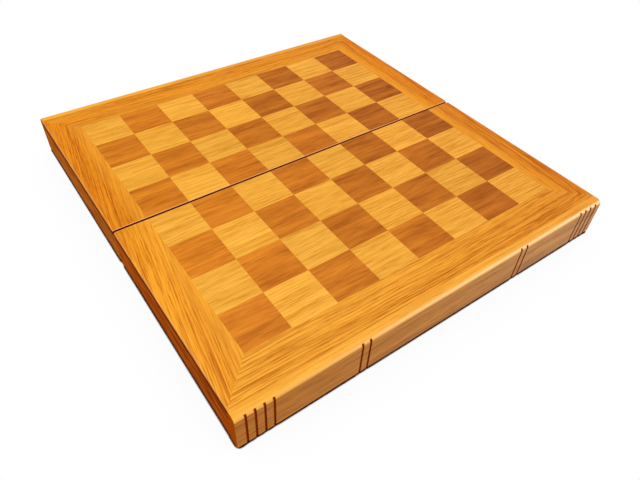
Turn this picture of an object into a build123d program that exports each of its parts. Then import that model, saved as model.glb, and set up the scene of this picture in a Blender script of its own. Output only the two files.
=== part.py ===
from build123d import *
import math
import os

# A folding chess case, lying open and flat with its playing surface up. Each half is a shallow
# tray turned over: a panel on four walls, with the playing surface inlaid in veneer on top and
# a felt lining underneath. The halves are joined by two brass butt hinges under the fold.
#
# Frame: millimetres, +Z up, X along the fold, the front rail faces -Y. The origin is on the
# table under the middle of the board. The near half is modelled, and the far half is the same
# half turned round the Z axis, apart from its hinge knuckles and its pads.

# Playing surface. The border is let in over the edge of the outermost squares, which are
# narrower by this lap.
square = 40.0
files = 8
ranks_per_half = 4
border_lap = 2.0
border_width = 29.5
veneer_thickness = 0.8
edge_bevel = 0.5
corner_rounding = 2.0

# Case
overall_height = 38.0
panel_thickness = 4.0
wall_thickness = 10.0
seam_clearance = 0.6
lining_thickness = 1.0
lining_margin = 0.3
rim_bevel = 0.5

# Nosed rail at the outer end of each half: a solid strip with a rounded nose and saw kerfs
# down its face, and a ledge behind that carries the end of the panel
rail_thickness = 9.0
rail_ledge = 5.0
nose_radius = 4.5
rail_joint_bevel = 0.3
rail_end_bevel = 0.6
kerf_width = 1.6
kerf_depth = 1.2
kerf_pitch = 7.0
end_kerfs = 4
end_kerf_offset = 8.0
inner_kerfs = 2
inner_kerf_offset = 101.0

# Glued corner joints: a tongue on one wall sits in a groove in the next
tongue_length = 4.0
tongue_thickness = 5.0

# Brass butt hinges
knuckle_radius = 1.6
pin_radius = 0.8
pin_running_clearance = 0.05
knuckle_clearance = 0.3
knuckle_gap = 0.2
knuckles = 3
hinge_length = 30.0
hinge_offset = 115.0
leaf_thickness = 1.2
leaf_depth = 9.0
leaf_fit = 0.05

# Hinge screws
screws_per_leaf = 2
screw_pitch = 16.0
screw_line = 5.4
screw_length = 8.0
screw_shank_radius = 1.0
screw_head_radius = 1.8
screw_slot_width = 0.5
screw_slot_depth = 0.4
pilot_clearance = 0.05

# Closing magnets and felt pads, let into or glued under the rims
magnet_radius = 3.0
magnet_thickness = 3.0
magnet_offset = 60.0
magnet_inset = 7.0
magnet_fit = 0.05
pad_radius = 4.0
pad_inset = 6.5
near_pad_offset = 182.0
far_pad_offset = 168.0

# How far a cutter runs past the face that it cuts
overshoot = 1.0

# Worked out from the driving dimensions
grid_left = -files * square / 2
grid_front = -ranks_per_half * square
field_half = -grid_left - border_lap
field_front = grid_front + border_lap
half_width = field_half + border_width
rail_back = field_front - border_width
front_face = rail_back - rail_thickness
ledge_face = rail_back + rail_ledge
seam = -seam_clearance
wall_inner = half_width - wall_thickness
rim = knuckle_radius
panel_top = overall_height - veneer_thickness
wall_top = panel_top - panel_thickness
hinge_wall_inner = seam - wall_thickness
hinge_places = {"left": -hinge_offset, "right": hinge_offset}
knuckle_pitch = hinge_length / knuckles
veneer_cut = (panel_top - overshoot, overall_height + overshoot)


def block(x_range, y_range, z_range):
    """A box between two limits along each axis."""
    low = Vector(x_range[0], y_range[0], z_range[0])
    high = Vector(x_range[1], y_range[1], z_range[1])
    size = high - low
    return Pos(*((low + high) * 0.5)) * Box(*size)


def rod_along_x(radius, x_range, y, z):
    length = x_range[1] - x_range[0]
    middle = (x_range[0] + x_range[1]) / 2
    return Pos(middle, y, z) * Rot(0, 90, 0) * Cylinder(radius, length)


def disc(radius, x, y, z_range):
    height = z_range[1] - z_range[0]
    return Pos(x, y, z_range[0] + height / 2) * Cylinder(radius, height)


def turned_round(shape):
    """The same piece on the far half."""
    return Rot(0, 0, 180) * shape


def half_plate(z_range):
    """A plate as wide as the case, from the rail to the seam, its corners at the seam rounded."""
    plate = block((-half_width, half_width), (rail_back, seam), z_range)
    seam_corners = plate.edges().filter_by(Axis.Z).group_by(Axis.Y)[-1]
    return fillet(seam_corners, corner_rounding)


def veneer_sheet():
    """The whole veneered surface of a half, its outer edges broken, before it is cut into pieces."""
    sheet = half_plate((panel_top, overall_height))
    top_edges = sheet.faces().sort_by(Axis.Z)[-1].edges()
    outer_edges = top_edges.filter_by(lambda edge: edge.center().Y > rail_back + edge_bevel)
    return chamfer(outer_edges, edge_bevel)


def field_squares(sheet, colour):
    """The squares of one colour: 0 is dark, as the near left corner square is, and 1 is light."""
    field = sheet & block((-field_half, field_half), (field_front, 0), veneer_cut)
    tiles = []
    for file in range(files):
        for rank in range(ranks_per_half):
            if (file + rank) % 2 == colour:
                left = grid_left + file * square
                front = grid_front + rank * square
                tiles.append(field & block((left, left + square), (front, front + square), veneer_cut))
    return Compound(children=[solid for tile in tiles for solid in tile.solids()])


def border_strip(sheet, corners):
    """A strip of border veneer with mitred ends, cut out of the sheet along a plan outline."""
    outline = make_face(Polyline(*corners, close=True))
    cutter = Pos(0, 0, veneer_cut[0]) * extrude(outline, veneer_cut[1] - veneer_cut[0])
    return sheet & cutter


def side_border(sheet, side):
    inner = side * field_half
    outer = side * half_width
    corners = [(inner, 0), (outer, 0), (outer, rail_back), (inner, field_front)]
    return border_strip(sheet, corners)


def end_border(sheet):
    corners = [
        (-half_width, rail_back),
        (half_width, rail_back),
        (field_half, field_front),
        (-field_half, field_front),
    ]
    return border_strip(sheet, corners)


def side_tongue():
    """The tongue on the front end of the left side wall, which sits in the rail."""
    middle = -(half_width + wall_inner) / 2
    return block(
        (middle - tongue_thickness / 2, middle + tongue_thickness / 2),
        (rail_back - tongue_length, rail_back),
        (rim, wall_top),
    )


def hinge_wall_tongue():
    """The tongue on the left end of the hinge wall, which sits in the left side wall."""
    middle = (seam + hinge_wall_inner) / 2
    return block(
        (-wall_inner - tongue_length, -wall_inner),
        (middle - tongue_thickness / 2, middle + tongue_thickness / 2),
        (rim, wall_top),
    )


def left_wall():
    wall = block((-half_width, -wall_inner), (rail_back, seam), (rim, wall_top))
    seam_corner = wall.edges().filter_by(Axis.Z).sort_by(Axis.X)[:2].sort_by(Axis.Y)[-1]
    wall = fillet(seam_corner, corner_rounding)
    outer_bottom = wall.edges().filter_by(Axis.Y).sort_by(Axis.X)[:2].sort_by(Axis.Z)[0]
    wall = chamfer(outer_bottom, rim_bevel)
    return wall + side_tongue() - hinge_wall_tongue()


def hinge_wall():
    wall = block((-wall_inner, wall_inner), (hinge_wall_inner, seam), (rim, wall_top))
    tongue = hinge_wall_tongue()
    wall = wall + tongue + mirror(tongue, Plane.YZ)
    for place in hinge_places.values():
        reach = hinge_length / 2 + leaf_fit
        mortise = block(
            (place - reach, place + reach),
            (-leaf_depth - leaf_fit, 0),
            (rim - overshoot, rim + leaf_thickness),
        )
        barrel_room = block(
            (place - reach, place + reach),
            (-knuckle_radius - knuckle_clearance, 0),
            (rim - overshoot, rim + knuckle_radius + knuckle_clearance),
        )
        wall = wall - mortise - barrel_room
        for x in screw_places(place):
            pilot = disc(
                screw_shank_radius + pilot_clearance, x, -screw_line, (rim, rim + screw_length)
            )
            wall = wall - pilot
    return wall


def kerf_places():
    """Distances of the kerfs from one end of the rail."""
    at_end = [end_kerf_offset + i * kerf_pitch for i in range(end_kerfs)]
    inner = [inner_kerf_offset + i * kerf_pitch for i in range(inner_kerfs)]
    return at_end + inner


def nosed_strip():
    """The strip as it leaves the moulder: its section, swept along X, with its ends bevelled."""
    height = overall_height - rim
    section = Pos((front_face + rail_back) / 2, rim + height / 2) * Rectangle(rail_thickness, height)
    nose_corner = section.vertices().sort_by(Axis.Y)[-2:].sort_by(Axis.X)[0]
    section = fillet(nose_corner, nose_radius)
    foot_corner = section.vertices().sort_by(Axis.Y)[:2].sort_by(Axis.X)[0]
    section = chamfer(foot_corner, rim_bevel)
    joint_corner = section.vertices().sort_by(Axis.Y)[-2:].sort_by(Axis.X)[-1]
    section = chamfer(joint_corner, rail_joint_bevel)
    strip = extrude(Plane.YZ * section, half_width, both=True)
    for end in (strip.faces().sort_by(Axis.X)[0], strip.faces().sort_by(Axis.X)[-1]):
        shown_edges = end.edges().filter_by(lambda edge: edge.center().Y < rail_back - rail_joint_bevel)
        strip = chamfer(shown_edges, rail_end_bevel)
    return strip


def nosed_rail():
    """The strip with its ledge, the grooves for the side walls, the kerfs and the magnet pockets."""
    rail = nosed_strip()
    ledge = block((-wall_inner, wall_inner), (rail_back, ledge_face), (rim, wall_top))
    groove = side_tongue()
    rail = rail + ledge - groove - mirror(groove, Plane.YZ)
    for side in (-1, 1):
        for distance in kerf_places():
            x = side * (half_width - distance)
            kerf = block(
                (x - kerf_width / 2, x + kerf_width / 2),
                (front_face - overshoot, front_face + kerf_depth),
                (rim - overshoot, overall_height + overshoot),
            )
            rail = rail - kerf
        pocket = disc(
            magnet_radius + magnet_fit,
            side * magnet_offset,
            front_face + magnet_inset,
            (rim - overshoot, rim + magnet_thickness),
        )
        rail = rail - pocket
    return rail


def magnets():
    discs = []
    for side in (-1, 1):
        place = (side * magnet_offset, front_face + magnet_inset)
        discs.append(disc(magnet_radius, *place, (rim, rim + magnet_thickness)))
    return Compound(children=discs)


def felt_pads(offset):
    pads = [disc(pad_radius, side * offset, front_face + pad_inset, (0, rim)) for side in (-1, 1)]
    return Compound(children=pads)


def lining():
    return block(
        (-wall_inner + lining_margin, wall_inner - lining_margin),
        (ledge_face + lining_margin, hinge_wall_inner - lining_margin),
        (wall_top - lining_thickness, wall_top),
    )


def screw_places(place):
    first = place - screw_pitch * (screws_per_leaf - 1) / 2
    return [first + i * screw_pitch for i in range(screws_per_leaf)]


def screw(x):
    """A countersunk brass screw, driven up into the rim, its slotted head filling the leaf's hole."""
    profile = Polyline(
        (0, rim),
        (screw_head_radius, rim),
        (screw_shank_radius, rim + leaf_thickness),
        (screw_shank_radius, rim + screw_length),
        (0, rim + screw_length),
        close=True,
    )
    body = revolve(Plane.XZ * make_face(profile), Axis.Z)
    slot = block(
        (-screw_head_radius, screw_head_radius),
        (-screw_slot_width / 2, screw_slot_width / 2),
        (rim - overshoot, rim + screw_slot_depth),
    )
    return Pos(x, -screw_line, 0) * (body - slot)


def hinge_screws():
    places = [x for place in hinge_places.values() for x in screw_places(place)]
    return Compound(children=[screw(x) for x in places])


def hinge_leaf(place, own_knuckles, bore_radius):
    """A leaf let into the rim, cut back where the other leaf's knuckles turn, with its own knuckles."""
    left = place - hinge_length / 2
    leaf = block(
        (left, left + hinge_length),
        (-leaf_depth, -knuckle_radius - knuckle_clearance),
        (rim, rim + leaf_thickness),
    )
    for index in own_knuckles:
        start = left + index * knuckle_pitch + knuckle_gap / 2
        span = (start, start + knuckle_pitch - knuckle_gap)
        web_reach = (-knuckle_radius - knuckle_clearance, -pin_radius)
        web = block(span, web_reach, (rim, rim + leaf_thickness))
        leaf = leaf + web + rod_along_x(knuckle_radius, span, 0, rim)
    bore = rod_along_x(bore_radius, (left - overshoot, left + hinge_length + overshoot), 0, rim)
    leaf = leaf - bore
    for x in screw_places(place):
        countersink = Pos(x, -screw_line, rim + leaf_thickness / 2) * Cone(
            screw_head_radius + pilot_clearance, screw_shank_radius + pilot_clearance, leaf_thickness
        )
        leaf = leaf - countersink
    return leaf


def hinge_pin(place):
    """The pin, pressed into the near leaf's knuckles, flush with the ends of the barrel."""
    return rod_along_x(pin_radius, (place - hinge_length / 2, place + hinge_length / 2), 0, rim)


def hinge(side, place):
    """The three pieces of one hinge. The near leaf has the outer knuckles."""
    near_knuckles = range(0, knuckles, 2)
    far_knuckles = range(1, knuckles, 2)
    far_leaf = hinge_leaf(-place, far_knuckles, pin_radius + pin_running_clearance)
    return {
        side + "_hinge_near_leaf": hinge_leaf(place, near_knuckles, pin_radius),
        side + "_hinge_far_leaf": turned_round(far_leaf),
        side + "_hinge_pin": hinge_pin(place),
    }


def half_pieces():
    """The pieces that both halves have, as they lie on the near half."""
    sheet = veneer_sheet()
    wall = left_wall()
    return {
        "panel": half_plate((wall_top, panel_top)),
        "left_wall": wall,
        "right_wall": mirror(wall, Plane.YZ),
        "hinge_wall": hinge_wall(),
        "nosed_rail": nosed_rail(),
        "dark_squares": field_squares(sheet, 0),
        "light_squares": field_squares(sheet, 1),
        "left_border": side_border(sheet, -1),
        "right_border": side_border(sheet, 1),
        "end_border": end_border(sheet),
        "lining": lining(),
        "magnets": magnets(),
        "hinge_screws": hinge_screws(),
    }


def far_name(name):
    """Turning a half round swaps its left and right pieces."""
    if name.startswith("left_"):
        return "far_" + name.replace("left_", "right_", 1)
    if name.startswith("right_"):
        return "far_" + name.replace("right_", "left_", 1)
    return "far_" + name


def build():
    pieces = {}
    for name, shape in half_pieces().items():
        pieces["near_" + name] = shape
        pieces[far_name(name)] = turned_round(shape)
    for side, place in hinge_places.items():
        pieces.update(hinge(side, place))
    pieces["near_felt_pads"] = felt_pads(near_pad_offset)
    pieces["far_felt_pads"] = turned_round(felt_pads(far_pad_offset))
    return pieces


os.makedirs("parts", exist_ok=True)
for node, shape in build().items():
    export_step(shape, "parts/" + node + ".step")

# The pads of one half meet bare rim on the other just before the case is shut
closed_angle = 180 - math.degrees(math.asin(rim / (-front_face - pad_inset - pad_radius)))
print("fold angle at which the pads touch:", round(closed_angle, 2), "degrees")
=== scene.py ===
import math

import bpy
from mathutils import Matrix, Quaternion, Vector

# A folding chess case, lying open with its playing surface up. The CAD nodes carry every shape.
# This script gives them their woods, felts and metals, and sets the light and the camera.

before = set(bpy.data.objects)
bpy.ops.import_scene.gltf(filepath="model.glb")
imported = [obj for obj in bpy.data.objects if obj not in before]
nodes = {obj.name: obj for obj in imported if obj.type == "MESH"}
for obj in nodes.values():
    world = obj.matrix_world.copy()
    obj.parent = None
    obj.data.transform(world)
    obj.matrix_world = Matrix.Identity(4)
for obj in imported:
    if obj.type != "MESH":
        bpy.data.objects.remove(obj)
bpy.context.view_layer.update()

# One millimetre, in the frame's metres. The materials work in millimetres of the frame.
mm = 0.001

# The board, as it is cut
square = 40.0
field_half = 158.0
border_width = 29.5
half_width = field_half + border_width
front_face = 196.5
kerf_width = 1.6
kerf_depth = 1.2
kerf_pitch = 7.0
kerf_groups = {"end": (158.5, 4), "inner": (79.5, 2)}
top = 38.0
panel_bottom = 33.2
rim_height = 1.6
ply_thickness = 1.34
edge_bevel = 0.5
seam_clearance = 0.6
rail_joint_bevel = 0.3
# How far a mask reaches past the edge of the surface that it covers
slack = 0.05

# The camera, found from the picture's grid of squares
picture_width_px = 640
focal_length_px = 558.9
camera_place = Vector((-249.6, -351.0, 355.8)) * mm
camera_target = Vector((-53.5, -98.4, 38.0)) * mm
camera_roll = math.radians(3.27)

# Woods, as linear colours: pale and dark streak, at the board's left and right ends
# The change from left to right is painted light, following how the light and sheen fall across the
# board.
light_wood = {
    "left": ((1.0, 0.500, 0.062), (0.68, 0.250, 0.011)),
    "right": ((0.92, 0.425, 0.062), (0.56, 0.205, 0.014)),
}
dark_wood = {
    "left": ((0.81, 0.265, 0.018), (0.43, 0.104, 0.003)),
    "right": ((0.53, 0.152, 0.018), (0.25, 0.052, 0.005)),
}
near_border_wood = {
    "left": ((0.99, 0.404, 0.024), (0.55, 0.135, 0.002)),
    "right": ((0.78, 0.255, 0.018), (0.39, 0.082, 0.002)),
}
far_border_wood = {
    "left": ((0.88, 0.300, 0.012), (0.46, 0.100, 0.001)),
    "right": ((0.81, 0.262, 0.014), (0.41, 0.086, 0.002)),
}
rail_colours = {
    "left": ((1.0, 0.490, 0.046), (0.83, 0.325, 0.018)),
    "right": ((0.92, 0.400, 0.052), (0.62, 0.205, 0.015)),
}
near_wall_wood = {
    "left": ((1.0, 0.205, 0.016), (0.22, 0.024, 0.001)),
    "right": ((0.66, 0.205, 0.026), (0.26, 0.052, 0.005)),
}
far_wall_wood = {
    "left": ((1.0, 0.310, 0.034), (0.42, 0.058, 0.003)),
    "right": ((0.70, 0.225, 0.028), (0.28, 0.058, 0.005)),
}
# Plies: pale and dark streak
long_plies = (0.34, 0.055, 0.005), (0.22, 0.030, 0.003)
cross_plies = (0.24, 0.035, 0.004), (0.16, 0.020, 0.002)
# Painted shade in and beside the kerfs and in the seam, painted highlights on the nose and the
# broken edges, and sapwood, each of one colour or of one at either end of the board
# Shade painted in the kerfs, darker at the right end, where the lamp reaches into them
kerf_shade_colours = {"left": (0.50, 0.075, 0.003), "right": (0.38, 0.085, 0.007)}
# Shade painted on the face beside the kerfs
kerf_edge_shade = (0.24, 0.046, 0.004)
# A highlight painted on the rails' noses, paler towards the right end
painted_nose_highlight = {"left": (1.0, 0.490, 0.095), "right": (1.0, 0.580, 0.195)}
# A highlight painted on the veneer's broken edges
painted_edge_highlight = (1.0, 0.56, 0.24)
sapwood = (0.96, 0.425, 0.038)
# Shade painted in the seam, lighter towards the right end
seam_painted_shade = {"left": (0.14, 0.004, 0.001), "right": (0.27, 0.034, 0.004)}

# What a wood's own colour is multiplied by. The rail face's tints are painted shade and sheen, and
# the rim tint is a painted contact shadow.
border_end_tint = (1.03, 1.15, 1.60)
# Painted shade on the rail's face, darker and redder than its top, following the grain
rail_face_shade_tints = (0.72, 0.53, 0.54), (0.46, 0.315, 0.31)
# A painted sheen, greyer towards the face's right end
rail_face_sheen_tint = (0.92, 1.20, 0.96)
rail_end_tints = {"left": (0.78, 0.28, 0.16), "right": (0.55, 0.42, 0.40)}
rail_joint_tint = (0.92, 0.74, 0.60)
glue_tint = (0.55, 0.30, 0.20)
wall_edge_tint = (0.55, 0.34, 0.30)
# A contact shadow painted along the walls' outer feet
rim_painted_shadow = (0.20, 0.07, 0.08)
pore_tint = (0.40, 0.16, 0.05)

# How far a square's leaf of veneer is shifted at most, along and across the grain, and how dark or
# light it can be
leaf_shift = (900.0, 700.0)
leaf_tones = (0.93, 1.06)

# Strips where a highlight is painted on the veneer's broken edges: how wide, and how strongly
side_highlight = (0.7, 0.24)
far_lip_highlight = (0.6, 0.80)
near_lip_highlight = (0.4, 0.32)

# The borders' sapwood: how far from the field it starts and is full, and how strongly it shows
sapwood_start = 15.0
sapwood_full = 4.0
end_sapwood = 0.12
side_sapwood = 0.4

# The shade painted beside the kerfs: how wide at the board's left and right ends, and how strong
kerf_shade_widths = (0.1, 0.4)
kerf_shade_strength = 0.8

# Where the walls darken below the panel's underside, and where a contact shadow is painted on
# their outer sides above the rim, and how strongly
wall_top_reach = 4.0
wall_top_strength = 0.6
rim_shadow_start = 3.5
rim_shadow_full = 2.0
rim_shadow_strength = 0.95

# How strongly the seam's painted shade covers the plies, and the painted highlight covers the
# rail's nose
ply_shade_strength = 0.6
nose_highlight_strength = 0.7

# How squarely a surface faces an axis: where it begins to count as this part, and where in full
sideways = (0.6, 0.9)
rail_face = (0.93, 1.0)
rail_nose = (0.30, 0.80)
rail_top = (0.90, 1.0)

# How strongly the satin coat shows. The nose's rises over a stretch of the way to the right.
veneer_gloss = 0.12
rail_top_gloss = 0.15
rail_face_glosses = (0.18, 0.50)
nose_glosses = (0.4, 1.0)
nose_gloss_rise = (0.1, 0.45)

# The floor's shadow, in metres: faint for so far, and dark where the case all but touches it
soft_reach = 0.15
soft_strength = 0.15
contact_reach = 0.004
contact_openness = (0.62, 0.71)
contact_colour = (0.030, 0.004, 0.002)


# Building node trees


class Shading:
    """A new material, and its node tree, built up node by node."""

    def __init__(self, name):
        self.material = bpy.data.materials.new(name)
        self.material.use_nodes = True
        self.tree = self.material.node_tree
        self.surface = self.tree.nodes["Principled BSDF"]

    def finish(self, **values):
        """Sets the surface's own values, or links them to a socket."""
        for name, value in values.items():
            self.put(self.surface.inputs[name.replace("_", " ")], value)

    def put(self, socket, value):
        if isinstance(value, bpy.types.NodeSocket):
            self.tree.links.new(value, socket)
        elif isinstance(value, tuple) and len(value) == 3 and socket.type == "RGBA":
            socket.default_value = (*value, 1.0)
        else:
            socket.default_value = value

    def node(self, kind, inputs, **settings):
        """Adds a node with its settings and its inputs, which are named or numbered."""
        made = self.tree.nodes.new("ShaderNode" + kind)
        for name, value in settings.items():
            setattr(made, name, value)
        for name, value in inputs.items():
            self.put(made.inputs[name], value)
        return made

    def math(self, operation, *values, clamp=False):
        inputs = dict(enumerate(values))
        return self.node("Math", inputs, operation=operation, use_clamp=clamp).outputs[0]

    def parts(self, vector):
        """A vector's three numbers, as three sockets."""
        return self.node("SeparateXYZ", {0: vector}).outputs

    def place(self):
        """The point on the CAD piece, in millimetres of the frame at rest, as three sockets."""
        where = self.node("TexCoord", {}).outputs["Object"]
        scaled = self.node("VectorMath", {0: where, "Scale": 1 / mm}, operation="SCALE")
        return self.parts(scaled.outputs[0])

    def facing(self):
        """Which way the surface of the CAD piece faces at rest, as three sockets."""
        return self.parts(self.node("TexCoord", {}).outputs["Normal"])

    def noise(self, point, sizes, detail=2.0, roughness=0.5):
        """Noise at a point of three numbers, whose blots have these three sizes."""
        scaled = [self.math("DIVIDE", value, size) for value, size in zip(point, sizes)]
        vector = self.node("CombineXYZ", dict(enumerate(scaled))).outputs[0]
        inputs = {"Vector": vector, "Scale": 1.0, "Detail": detail, "Roughness": roughness}
        return self.node("TexNoise", inputs).outputs[0]

    def blend(self, factor, first, second, how="MIX"):
        """A mix of two colours. Each is a colour or a socket."""
        made = self.node("Mix", {0: factor, 6: first, 7: second}, data_type="RGBA", blend_type=how)
        return made.outputs[2]

    def spread(self, value, low, high, to_low=0.0, to_high=1.0):
        """Maps low to high onto another range, and stops at its ends."""
        inputs = {0: value, 1: low, 2: high, 3: to_low, 4: to_high}
        return self.node("MapRange", inputs, clamp=True).outputs[0]

    def inside(self, value, low, high):
        """One between two limits, and nought outside them."""
        above = self.math("GREATER_THAN", value, low)
        below = self.math("LESS_THAN", value, high)
        return self.math("MULTIPLY", above, below)

    def rightwards(self, x):
        """How far to the right a point is, from nought at the board's left end to one."""
        return self.spread(x, -half_width, half_width)

    def drift(self, share, colours):
        """A colour that changes from the board's left end to its right."""
        return self.blend(share, colours["left"], colours["right"])


# Wood


class Figure:
    """The figure of straight-grained wood, from a point measured in millimetres along the grain,
    across it and into it. Holds its dark streaks, from nought to one, and its open pores."""

    def __init__(self, shade, along, across, depth, band, streak, length, sway, fineness=0.55):
        bend = shade.noise((along, across, depth), (95.0, 24.0, 24.0), detail=1.0)
        offset = shade.math("MULTIPLY", shade.math("SUBTRACT", bend, 0.5), sway * 2)
        point = (along, shade.math("ADD", across, offset), depth)
        bands = shade.spread(shade.noise(point, (length * 4.0, band, band), 1.0), 0.3, 0.7)
        lines = shade.spread(shade.noise(point, (length, streak, streak), 2.0, 0.6), 0.42, 0.66)
        dashes = shade.spread(shade.noise(point, (13.0, 0.75, 0.75), 1.0), 0.52, 0.70)
        broad = shade.math("MULTIPLY", bands, 0.85 - fineness)
        fine = shade.math("MULTIPLY_ADD", lines, fineness, broad)
        self.streaks = shade.math("MULTIPLY_ADD", dashes, fineness * 0.7, fine, clamp=True)
        self.pores = shade.spread(shade.noise(point, (5.0, 0.3, 0.3), 2.0), 0.60, 0.75)


def wood_colour(shade, colours, rightwards, figure):
    """The wood's colour, drifting from left to right as painted light, with its pores a little
    darker.
    """
    pale = shade.blend(rightwards, colours["left"][0], colours["right"][0])
    dark = shade.blend(rightwards, colours["left"][1], colours["right"][1])
    colour = shade.blend(figure.streaks, pale, dark)
    return shade.blend(shade.math("MULTIPLY", figure.pores, 0.25), colour, pore_tint, "MULTIPLY")


def lacquered(shade, colour, figure, gloss, roughness=0.35):
    """Bare wood under a satin coat, which sinks a little into the pores."""
    unbroken = shade.math("SUBTRACT", 1.0, figure.pores)
    relief = shade.math("MULTIPLY_ADD", figure.streaks, -0.3, unbroken)
    bump = shade.node("Bump", {"Height": relief, "Strength": 0.3, "Distance": 0.03 * mm})
    shade.finish(Base_Color=colour, Roughness=0.7, Normal=bump.outputs[0])
    shade.finish(Coat_Weight=gloss, Coat_Roughness=roughness)
    shade.surface.inputs["Specular IOR Level"].default_value = 0.0


def in_seam(shade, y):
    """One on the sides and the bevels that face each other across the seam, where shade is
    painted, and nought elsewhere."""
    return shade.math("LESS_THAN", shade.math("ABSOLUTE", y), seam_clearance + edge_bevel)


def seam_shade(shade, x):
    """The colour of the shade painted in the seam, which is lighter towards the right."""
    return shade.drift(shade.rightwards(x), seam_painted_shade)


def veneered(shade, x, y, z, colour, figure):
    """Finishes a veneer of the playing surface. A highlight is painted a little paler along its
    broken edges, and most on the lip of the seam, on the far half. Below them its side shows the
    dark glue line, and in the seam it takes the painted shade."""
    side_width, side_strength = side_highlight
    far_width, far_strength = far_lip_highlight
    near_width, near_strength = near_lip_highlight
    side = half_width - edge_bevel - side_width
    lip = seam_clearance + edge_bevel
    strips = (
        (shade.math("GREATER_THAN", shade.math("ABSOLUTE", x), side), side_strength),
        (shade.inside(y, lip, lip + far_width), far_strength),
        (shade.inside(y, -lip - near_width, -lip), near_strength),
    )
    highlighted = 0.0
    for strip, strength in strips:
        highlighted = shade.math("MAXIMUM", highlighted, shade.math("MULTIPLY", strip, strength))
    # Paints the edges' highlight into the colour
    colour = shade.blend(highlighted, colour, painted_edge_highlight)
    below = shade.math("LESS_THAN", z, top - edge_bevel)
    colour = shade.blend(below, colour, glue_tint, "MULTIPLY")
    # Shade is painted on the seam's sides and bevels
    seam_shaded = in_seam(shade, y)
    gloss = shade.spread(seam_shaded, 0.0, 1.0, veneer_gloss, 0.0)
    lacquered(shade, shade.blend(seam_shaded, colour, seam_shade(shade, x)), figure, gloss)


def square_veneer(name, colours, seed, **figure_sizes):
    """Squares, each cut from its own leaf of veneer, with the grain along the fold."""
    shade = Shading(name)
    x, y, z = shade.place()
    column = shade.math("FLOOR", shade.math("DIVIDE", x, square))
    row = shade.math("FLOOR", shade.math("DIVIDE", y, square))
    which = shade.node("CombineXYZ", {0: column, 1: row, 2: seed}).outputs[0]
    chance = shade.node("TexWhiteNoise", {0: which}, noise_dimensions="3D")
    leaf = shade.parts(chance.outputs["Color"])
    along = shade.math("MULTIPLY_ADD", leaf[0], leaf_shift[0], x)
    across = shade.math("MULTIPLY_ADD", leaf[1], leaf_shift[1], y)
    figure = Figure(shade, along, across, z, **figure_sizes)
    colour = wood_colour(shade, colours, shade.spread(x, -field_half, field_half), figure)
    tone = shade.spread(leaf[2], 0.0, 1.0, *leaf_tones)
    toned = shade.node("VectorMath", {0: colour, "Scale": tone}, operation="SCALE").outputs[0]
    veneered(shade, x, y, z, toned, figure)
    return shade.material


def border_veneer(name, colours, grain_along_x, run_out, seed):
    """A border strip. Its grain runs out to the side by run_out for each millimetre. Strips that
    meet at a mitre are matched there."""
    shade = Shading(name)
    x, y, z = shade.place()
    along_axis, across_axis = (x, y) if grain_along_x else (y, x)
    inward = shade.math("SUBTRACT", half_width, shade.math("ABSOLUTE", across_axis))
    from_fold = shade.math("ABSOLUTE", along_axis)
    from_mitre = shade.math("SUBTRACT", half_width - border_width / 2, from_fold)
    across = shade.math("MULTIPLY_ADD", from_mitre, run_out, inward)
    along = x if grain_along_x else shade.math("MULTIPLY", shade.math("SIGN", x), from_fold)
    figure = Figure(
        shade, along, across, seed, band=7.0, streak=1.15, length=60.0, sway=2.2, fineness=0.72
    )
    colour = wood_colour(shade, colours, shade.rightwards(x), figure)
    from_field = shade.math("SUBTRACT", border_width, inward)
    strength = end_sapwood if grain_along_x else side_sapwood
    near_field = shade.spread(from_field, sapwood_start, sapwood_full, 0.0, strength)
    colour = shade.blend(near_field, colour, sapwood)
    if grain_along_x:
        colour = shade.blend(1.0, colour, border_end_tint, "MULTIPLY")
    veneered(shade, x, y, z, colour, figure)
    return shade.material


def kerf_mask(shade, x, y, beside):
    """One on the walls and floors of the saw kerfs, which lie alike at both ends of a rail, and
    on so many millimetres of the face beside them."""
    from_middle = shade.math("ABSOLUTE", x)
    mask = 0.0
    for first, count in kerf_groups.values():
        steps = shade.math("DIVIDE", shade.math("SUBTRACT", from_middle, first), kerf_pitch)
        nearest = shade.math("ROUND", steps)
        off = shade.math("ABSOLUTE", shade.math("SUBTRACT", steps, nearest))
        reach = shade.math("ADD", beside, kerf_width / 2 + slack)
        in_kerf = shade.math("LESS_THAN", off, shade.math("DIVIDE", reach, kerf_pitch))
        in_group = shade.inside(nearest, -0.5, count - 0.5)
        mask = shade.math("MAXIMUM", mask, shade.math("MULTIPLY", in_kerf, in_group))
    kerf_floor = front_face - kerf_depth - slack
    outside_floor = shade.math("GREATER_THAN", shade.math("ABSOLUTE", y), kerf_floor)
    return shade.math("MULTIPLY", mask, outside_floor)


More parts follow.
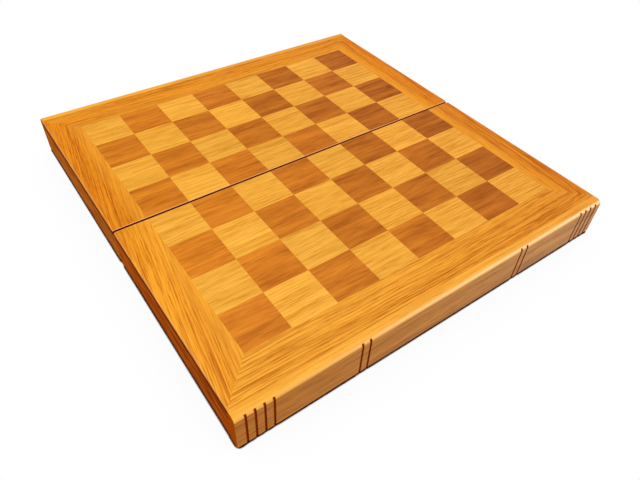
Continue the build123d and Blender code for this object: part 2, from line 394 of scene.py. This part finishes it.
def rail_wood(name, colours, seed):
    """The nosed rails: painted darker and redder on the face as shade, with a painted sheen
    towards the right, end grain at the ends, and painted shade in and beside the kerfs. A
    highlight is painted on the nose, and a coat of clear lacquer shines most there, where hands
    polish it."""
    shade = Shading(name)
    x, y, z = shade.place()
    across = shade.math("ADD", y, seed)
    figure = Figure(shade, x, across, z, band=9.0, streak=1.6, length=60.0, sway=2.6)
    rightwards = shade.rightwards(x)
    colour = wood_colour(shade, colours, rightwards, figure)
    facing = shade.facing()
    forward = shade.math("ABSOLUTE", facing[1])
    on_end = shade.spread(shade.math("ABSOLUTE", facing[0]), *sideways)
    on_face = shade.spread(forward, *rail_face)
    nose_highlight = shade.spread(forward, *rail_nose, 0.0, nose_highlight_strength)
    in_kerf = kerf_mask(shade, x, y, 0.0)
    shade_width = shade.spread(rightwards, 0.0, 1.0, *kerf_shade_widths)
    edge_shaded = shade.math("MULTIPLY", kerf_mask(shade, x, y, shade_width), kerf_shade_strength)
    joint = half_width + rail_joint_bevel + slack
    in_joint = shade.math("LESS_THAN", shade.math("ABSOLUTE", y), joint)

    # Paints shade on the face, and a sheen towards its right end
    face_tint = shade.blend(figure.streaks, *rail_face_shade_tints)
    face_colour = shade.blend(1.0, colour, face_tint, "MULTIPLY")
    face_colour = shade.blend(rightwards, face_colour, rail_face_sheen_tint, "MULTIPLY")
    # Paints the nose's highlight into its colour
    colour = shade.blend(nose_highlight, colour, shade.drift(rightwards, painted_nose_highlight))
    colour = shade.blend(on_face, colour, face_colour)
    colour = shade.blend(on_end, colour, shade.drift(rightwards, rail_end_tints), "MULTIPLY")
    colour = shade.blend(in_joint, colour, rail_joint_tint, "MULTIPLY")
    # Paints shade beside and inside the kerfs
    colour = shade.blend(edge_shaded, colour, kerf_edge_shade)
    colour = shade.blend(in_kerf, colour, shade.drift(rightwards, kerf_shade_colours))

    face_coat = shade.spread(rightwards, 0.0, 1.0, *rail_face_glosses)
    nose_coat = shade.spread(rightwards, *nose_gloss_rise, *nose_glosses)
    top_coat = shade.spread(facing[2], *rail_top, nose_coat, rail_top_gloss)
    coat = shade.spread(on_face, 0.0, 1.0, top_coat, face_coat)
    bare = shade.math("MAXIMUM", on_end, in_kerf)
    lacquered(shade, colour, figure, gloss=shade.spread(bare, 0.0, 1.0, coat, 0.0), roughness=0.3)
    return shade.material


def wall_wood(name, colours, grain_along_x, seed):
    """The walls, which darken below the panel, and on whose outer sides a contact shadow is
    painted towards the rim.
    """
    shade = Shading(name)
    x, y, z = shade.place()
    along, across = (x, y) if grain_along_x else (y, x)
    across = shade.math("ADD", across, seed)
    figure = Figure(shade, along, across, z, band=9.0, streak=2.6, length=30.0, sway=4.0)
    colour = wood_colour(shade, colours, shade.rightwards(x), figure)
    top_start = panel_bottom - wall_top_reach
    near_top = shade.spread(z, top_start, panel_bottom, 0.0, wall_top_strength)
    above_rim = shade.math("SUBTRACT", z, rim_height)
    # A contact shadow is painted on the outer sides, just above the rim
    rim_shadow = shade.spread(above_rim, rim_shadow_start, rim_shadow_full, 0.0, rim_shadow_strength)
    outside = shade.spread(shade.math("ABSOLUTE", shade.facing()[0]), *sideways)
    colour = shade.blend(near_top, colour, wall_edge_tint, "MULTIPLY")
    colour = shade.blend(shade.math("MULTIPLY", rim_shadow, outside), colour, rim_painted_shadow, "MULTIPLY")
    lacquered(shade, colour, figure, gloss=0.0)
    return shade.material


def plywood(name):
    """The panel: thin plies whose grain turns by a quarter from one to the next."""
    shade = Shading(name)
    x, y, z = shade.place()
    height = shade.math("SUBTRACT", z, panel_bottom)
    ply = shade.math("FLOOR", shade.math("DIVIDE", height, ply_thickness))
    odd = shade.math("MULTIPLY", shade.math("FRACT", shade.math("DIVIDE", ply, 2.0)), 2.0)
    figure = Figure(shade, y, x, z, band=14.0, streak=1.5, length=60.0, sway=2.0)
    long_ply = shade.blend(figure.streaks, *long_plies)
    cross_ply = shade.blend(figure.streaks, *cross_plies)
    colour = shade.blend(odd, long_ply, cross_ply)
    # Shade is painted on the plies in the seam
    seam_shaded = shade.math("MULTIPLY", in_seam(shade, y), ply_shade_strength)
    colour = shade.blend(seam_shaded, colour, seam_shade(shade, x))
    lacquered(shade, colour, figure, gloss=0.0)
    return shade.material


# Felt and metal


def felt(name, colour, dark):
    """Pressed wool: a mottled colour, and fibres that stand up a little."""
    shade = Shading(name)
    point = shade.place()
    cloud = shade.noise(point, (9.0, 9.0, 9.0), 3.0)
    fuzz = shade.noise(point, (0.35, 0.35, 0.35), 3.0, 0.7)
    mottle = shade.spread(shade.math("ADD", cloud, fuzz), 0.75, 1.25)
    bump = shade.node("Bump", {"Height": fuzz, "Strength": 0.8, "Distance": 0.3 * mm})
    shade.finish(Base_Color=shade.blend(mottle, dark, colour), Normal=bump.outputs[0])
    shade.finish(Roughness=0.95, Sheen_Weight=0.4, Sheen_Roughness=0.5)
    shade.surface.inputs["Specular IOR Level"].default_value = 0.1
    return shade.material


def metal(name, bright, dull, roughness, along=3.0):
    """Drawn metal with a faint brushed grain along X and a little tarnish."""
    shade = Shading(name)
    point = shade.place()
    tarnish = shade.noise(point, (4.0, 4.0, 4.0), 4.0)
    brushed = shade.noise(point, (along, 0.12, 0.12), 2.0)
    bump = shade.node("Bump", {"Height": brushed, "Strength": 0.2, "Distance": 0.02 * mm})
    shade.finish(
        Base_Color=shade.blend(shade.spread(tarnish, 0.4, 0.65), bright, dull),
        Roughness=shade.spread(tarnish, 0.3, 0.7, roughness, roughness + 0.15),
        Normal=bump.outputs[0],
        Metallic=1.0,
    )
    return shade.material


# Which node has which material


def dress(material, *names):
    """Gives the nodes of these names one material."""
    for name in names:
        for slot in nodes[name].material_slots:
            slot.material = material


light_veneer = square_veneer(
    "light_veneer", light_wood, 3.0, band=9.0, streak=1.2, length=45.0, sway=3.5
)
dark_veneer = square_veneer(
    "dark_veneer", dark_wood, 8.0, band=9.0, streak=2.6, length=24.0, sway=5.0, fineness=0.35
)
hinge_wall_wood = wall_wood("hinge_wall_wood", far_wall_wood, True, 51.0)
plies = plywood("plywood")
brass = metal("hinge_brass", (0.82, 0.58, 0.24), (0.50, 0.32, 0.12), roughness=0.22)
screw_brass = metal(
    "screw_brass", (0.86, 0.62, 0.28), (0.60, 0.40, 0.16), roughness=0.18, along=0.6
)
steel = metal("pin_steel", (0.62, 0.62, 0.62), (0.42, 0.41, 0.40), roughness=0.25)
nickel = metal(
    "magnet_nickel", (0.78, 0.77, 0.75), (0.60, 0.59, 0.57), roughness=0.15, along=0.8
)
lining_felt = felt("lining_felt", (0.030, 0.150, 0.060), (0.012, 0.075, 0.030))
pad_felt = felt("pad_felt", (0.080, 0.045, 0.028), (0.035, 0.020, 0.013))

border_wood = {"near": near_border_wood, "far": far_border_wood}
side_wood = {"near": near_wall_wood, "far": far_wall_wood}
# How fast the grain of each border strip runs out towards the board's edge
run_outs = {
    "near": {"end": 0.02, "left": -0.16, "right": 0.05},
    "far": {"end": -0.02, "left": 0.16, "right": -0.05},
}
seeds = {"near": 5.0, "far": 42.0}

for half in ("near", "far"):
    seed = seeds[half]
    for strip, run_out in run_outs[half].items():
        strip_name = half + "_" + strip + "_border"
        wood = border_veneer(strip_name, border_wood[half], strip == "end", run_out, seed)
        dress(wood, strip_name)
    dress(light_veneer, half + "_light_squares")
    dress(dark_veneer, half + "_dark_squares")
    dress(plies, half + "_panel")
    dress(rail_wood(half + "_rail_wood", rail_colours, seed), half + "_nosed_rail")
    walls = wall_wood(half + "_wall_wood", side_wood[half], False, seed)
    dress(walls, half + "_left_wall", half + "_right_wall")
    dress(hinge_wall_wood, half + "_hinge_wall")
    dress(lining_felt, half + "_lining")
    dress(nickel, half + "_magnets")
    dress(screw_brass, half + "_hinge_screws")
    dress(pad_felt, half + "_felt_pads")
    dress(brass, "left_hinge_" + half + "_leaf", "right_hinge_" + half + "_leaf")
dress(steel, "left_hinge_pin", "right_hinge_pin")


# Floor, light and camera


def make_floor():
    """A white ground that shows as the shadow of what stands on it: soft and faint all round,
    and dark where the case nearly touches it."""
    bpy.ops.mesh.primitive_plane_add(size=6.0)
    floor = bpy.context.object
    floor.name = "floor"
    shade = Shading("floor_shadow")

    def open_sky(reach, samples):
        return shade.node("AmbientOcclusion", {"Distance": reach}, samples=samples).outputs["AO"]

    covered = shade.math("POWER", shade.math("SUBTRACT", 1.0, open_sky(soft_reach, 16)), 2.0)
    soft = shade.math("MULTIPLY_ADD", covered, -soft_strength, 1.0)
    beside = shade.spread(open_sky(contact_reach, 32), *contact_openness)
    light = shade.blend(beside, contact_colour, soft)
    clear = shade.node("BsdfTransparent", {0: light})
    output = shade.tree.nodes["Material Output"]
    shade.tree.links.new(clear.outputs[0], output.inputs["Surface"])
    floor.data.materials.append(shade.material)
    floor.visible_diffuse = False
    floor.visible_shadow = False


def make_world(strength):
    """Light of this strength on the case, and plain white for the camera and in reflections."""
    world = bpy.data.worlds.new("studio")
    world.use_nodes = True
    bpy.context.scene.world = world
    tree = world.node_tree
    lit = tree.nodes["Background"]
    lit.inputs["Strength"].default_value = strength
    lit.inputs["Color"].default_value = (1, 1, 1, 1)
    white = tree.nodes.new("ShaderNodeBackground")
    white.inputs["Color"].default_value = (1, 1, 1, 1)
    path = tree.nodes.new("ShaderNodeLightPath")
    seen = path.outputs["Is Camera Ray"]
    for ray in ("Is Glossy Ray", "Is Transmission Ray"):
        either = tree.nodes.new("ShaderNodeMath")
        either.operation = "MAXIMUM"
        tree.links.new(seen, either.inputs[0])
        tree.links.new(path.outputs[ray], either.inputs[1])
        seen = either.outputs[0]
    mix = tree.nodes.new("ShaderNodeMixShader")
    tree.links.new(seen, mix.inputs[0])
    tree.links.new(lit.outputs[0], mix.inputs[1])
    tree.links.new(white.outputs[0], mix.inputs[2])
    tree.links.new(mix.outputs[0], tree.nodes["World Output"].inputs["Surface"])


def softbox(name, place, size, power):
    """A rectangular lamp, so wide and so high, that faces the board's middle."""
    lamp = bpy.data.lights.new(name, "AREA")
    lamp.shape = "RECTANGLE"
    lamp.size, lamp.size_y = size
    lamp.energy = power
    holder = bpy.data.objects.new(name, lamp)
    holder.location = place
    holder.rotation_euler = (-Vector(place)).to_track_quat("-Z", "Y").to_euler()
    bpy.context.scene.collection.objects.link(holder)


def make_camera():
    """A camera where the photograph's stood, with its field of view and its slight tilt."""
    data = bpy.data.cameras.new("camera")
    data.lens = data.sensor_width * focal_length_px / picture_width_px
    data.clip_start = 10 * mm
    camera = bpy.data.objects.new("camera", data)
    bpy.context.scene.collection.objects.link(camera)
    camera.rotation_mode = "QUATERNION"
    camera.location = camera_place
    look = (camera_target - camera_place).to_track_quat("-Z", "Y")
    camera.rotation_quaternion = look @ Quaternion((0, 0, 1), camera_roll)
    bpy.context.scene.camera = camera


make_floor()
make_world(strength=0.42)
softbox("overhead", place=(0.0, 0.15, 1.5), size=(1.6, 1.6), power=17.1)
softbox("front_right", place=(0.85, -1.1, 0.32), size=(1.2, 0.40), power=9.0)
make_camera()
bpy.context.scene.view_settings.view_transform = "Standard"
